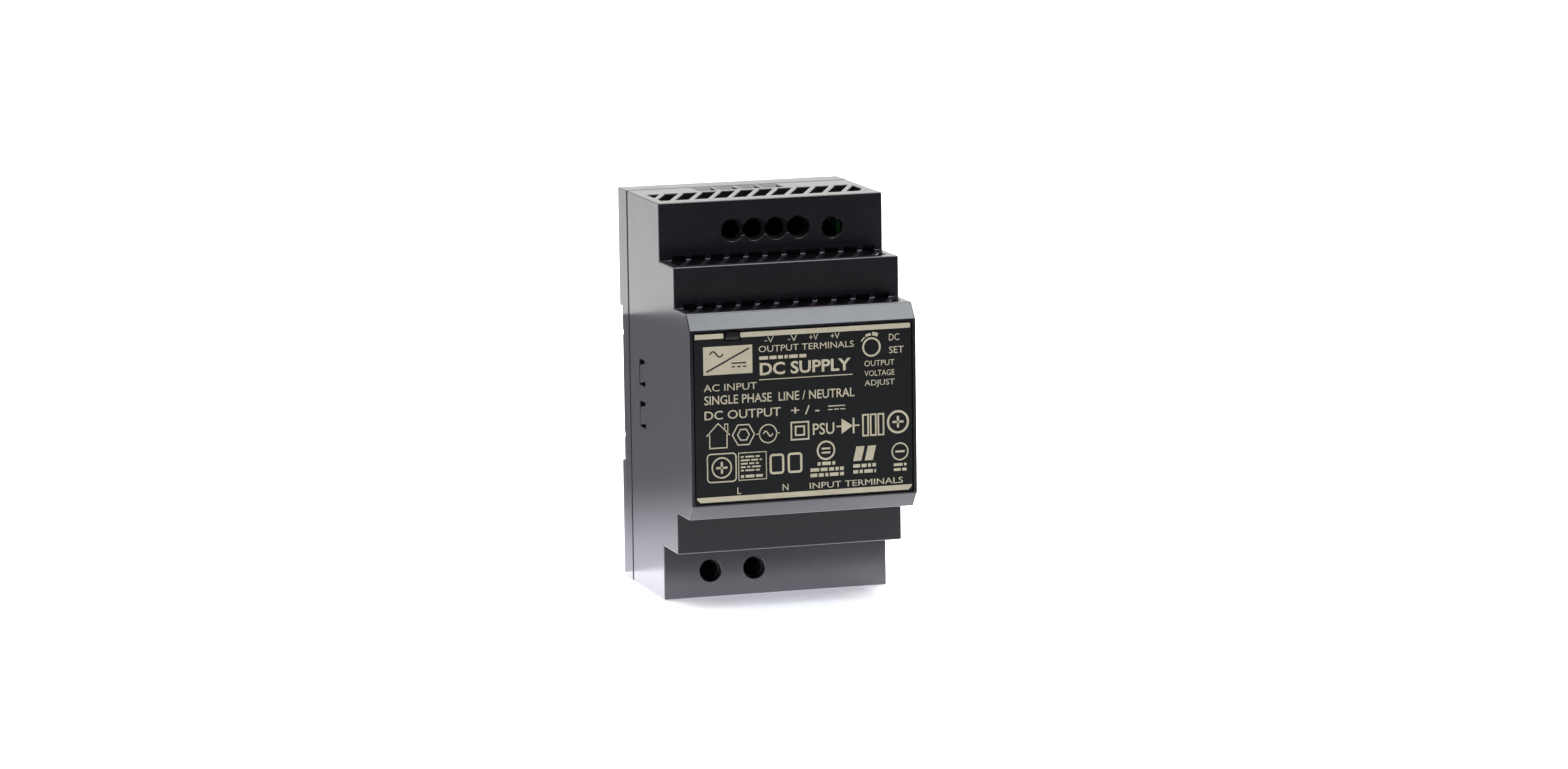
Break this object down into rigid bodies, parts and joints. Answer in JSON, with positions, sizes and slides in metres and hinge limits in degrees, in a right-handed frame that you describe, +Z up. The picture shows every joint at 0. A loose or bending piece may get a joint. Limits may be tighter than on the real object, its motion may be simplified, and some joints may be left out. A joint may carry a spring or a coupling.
{
  "type": "din rail power supply",
  "caption": "Stepped three-module plastic case that snaps onto a 35 mm rail, with mains input and low-voltage output screw terminals, vents, indicator and output trimmer.",
  "frame": {"origin": "centre of the rail seat: mid-width, on the plane that the front of the rail's lips touches, level with the rail's centreline", "axes": "+X right seen from the front, +Y towards the rail and the wall behind it, +Z up as mounted on a level rail"},
  "size_m": [0.0524, 0.0585, 0.09],
  "materials": {
    "case_plastic": "fine satin moulding",
    "latch_plastic": "satin moulding",
    "label_film": "printed film",
    "lens": "clear tinted",
    "terminal_plastic": "moulded",
    "plated_steel": "zinc plated",
    "spring_steel": "drawn wire",
    "contact_brass": "tinned brass",
    "board": "solder mask over glass laminate",
    "insulating_film": "thin film",
    "ferrite": "sintered ferrite",
    "bobbin_plastic": "moulded",
    "winding_tape": "polyester tape over wire",
    "can_sleeve": "shrink sleeve over an aluminium can",
    "copper_wire": "enamelled copper",
    "yellow_box": "potted box",
    "blue_coating": "epoxy dip",
    "green_coating": "epoxy dip",
    "device_epoxy": "moulded epoxy",
    "heatsink_aluminium": "mill finish",
    "nylon": "moulded",
    "green_lens": "clear tinted",
    "blue_plastic": "moulded",
    "grey_plastic": "moulded",
    "white_plastic": "moulded"
  },
  "bodies": {
    "case": {"front_housing": "case_plastic", "rear_cover": "case_plastic", "rating_label": "label_film", "led_light_pipe": "lens", "insulation_sheet": "insulating_film", "latch_spring": "spring_steel", "output_terminal_block": "terminal_plastic", "output_contact_1": "contact_brass", "output_contact_2": "contact_brass", "output_contact_3": "contact_brass", "output_contact_4": "contact_brass", "input_terminal_block": "terminal_plastic", "input_contact_1": "contact_brass", "input_contact_2": "contact_brass", "main_pcb": "board", "control_pcb": "board", "control_chip": "device_epoxy", "trimmer_body": "blue_plastic", "optocoupler": "white_plastic", "status_led": "green_lens", "led_spacer": "nylon", "transformer_core": "ferrite", "transformer_bobbin": "bobbin_plastic", "transformer_winding": "winding_tape", "bulk_capacitor": "can_sleeve", "output_capacitor_1": "can_sleeve", "output_capacitor_2": "can_sleeve", "output_inductor": "copper_wire", "primary_switch": "device_epoxy", "primary_heatsink": "heatsink_aluminium", "primary_heatsink_screw": "plated_steel", "output_rectifier": "device_epoxy", "output_heatsink": "heatsink_aluminium", "output_heatsink_screw": "plated_steel", "bridge_rectifier": "device_epoxy", "x_capacitor": "yellow_box", "y_capacitor": "blue_coating", "choke_core": "ferrite", "choke_winding_left": "copper_wire", "choke_winding_right": "copper_wire", "fuse": "white_plastic", "thermistor": "green_coating", "varistor": "blue_coating"},
    "latch": {"rail_latch": "latch_plastic"},
    "output_screw_1": {"output_screw_1": "plated_steel"},
    "output_clamp_1": {"output_clamp_1": "plated_steel"},
    "output_screw_2": {"output_screw_2": "plated_steel"},
    "output_clamp_2": {"output_clamp_2": "plated_steel"},
    "output_screw_3": {"output_screw_3": "plated_steel"},
    "output_clamp_3": {"output_clamp_3": "plated_steel"},
    "output_screw_4": {"output_screw_4": "plated_steel"},
    "output_clamp_4": {"output_clamp_4": "plated_steel"},
    "input_screw_1": {"input_screw_1": "plated_steel"},
    "input_clamp_1": {"input_clamp_1": "plated_steel"},
    "input_screw_2": {"input_screw_2": "plated_steel"},
    "input_clamp_2": {"input_clamp_2": "plated_steel"},
    "trimmer_rotor": {"trimmer_rotor": "grey_plastic"}
  },
  "joints": [
    {"name": "rail_latch_slide", "type": "slide", "parent": "case", "child": "latch", "axis": [0, 0, -1], "range_m": [0, 0.004], "stiffness_N_per_m": 2000, "springref_m": -0.002, "deforming": ["latch_spring"]},
    {"name": "output_screw_1_turn", "type": "hinge", "parent": "case", "child": "output_screw_1", "pos_m": [-0.0091, -0.018, 0.0381], "axis": [0, 1, 0], "range_deg": [0, 1801]},
    {"name": "output_clamp_1_slide", "type": "slide", "parent": "case", "child": "output_clamp_1", "axis": [0, -1, 0], "range_m": [0, 0.00225]},
    {"name": "output_screw_2_turn", "type": "hinge", "parent": "case", "child": "output_screw_2", "pos_m": [-0.0039, -0.018, 0.0381], "axis": [0, 1, 0], "range_deg": [0, 1801]},
    {"name": "output_clamp_2_slide", "type": "slide", "parent": "case", "child": "output_clamp_2", "axis": [0, -1, 0], "range_m": [0, 0.00225]},
    {"name": "output_screw_3_turn", "type": "hinge", "parent": "case", "child": "output_screw_3", "pos_m": [0.0013, -0.018, 0.0381], "axis": [0, 1, 0], "range_deg": [0, 1801]},
    {"name": "output_clamp_3_slide", "type": "slide", "parent": "case", "child": "output_clamp_3", "axis": [0, -1, 0], "range_m": [0, 0.00225]},
    {"name": "output_screw_4_turn", "type": "hinge", "parent": "case", "child": "output_screw_4", "pos_m": [0.0065, -0.018, 0.0381], "axis": [0, 1, 0], "range_deg": [0, 1801]},
    {"name": "output_clamp_4_slide", "type": "slide", "parent": "case", "child": "output_clamp_4", "axis": [0, -1, 0], "range_m": [0, 0.00225]},
    {"name": "input_screw_1_turn", "type": "hinge", "parent": "case", "child": "input_screw_1", "pos_m": [-0.0154, -0.018, -0.0389], "axis": [0, 1, 0], "range_deg": [0, 1801]},
    {"name": "input_clamp_1_slide", "type": "slide", "parent": "case", "child": "input_clamp_1", "axis": [0, -1, 0], "range_m": [0, 0.00225]},
    {"name": "input_screw_2_turn", "type": "hinge", "parent": "case", "child": "input_screw_2", "pos_m": [-0.0051, -0.018, -0.0389], "axis": [0, 1, 0], "range_deg": [0, 1801]},
    {"name": "input_clamp_2_slide", "type": "slide", "parent": "case", "child": "input_clamp_2", "axis": [0, -1, 0], "range_m": [0, 0.00225]},
    {"name": "trimmer_turn", "type": "hinge", "parent": "case", "child": "trimmer_rotor", "pos_m": [0.0144, -0.023, 0.0376], "axis": [0, 1, 0], "range_deg": [-135, 135]}
  ],
  "couplings": [
    {"joint": "output_screw_1_turn", "follows": "output_clamp_1_slide", "rad_per_m": 13963},
    {"joint": "output_screw_2_turn", "follows": "output_clamp_2_slide", "rad_per_m": 13963},
    {"joint": "output_screw_3_turn", "follows": "output_clamp_3_slide", "rad_per_m": 13963},
    {"joint": "output_screw_4_turn", "follows": "output_clamp_4_slide", "rad_per_m": 13963},
    {"joint": "input_screw_1_turn", "follows": "input_clamp_1_slide", "rad_per_m": 13963},
    {"joint": "input_screw_2_turn", "follows": "input_clamp_2_slide", "rad_per_m": 13963}
  ]
}
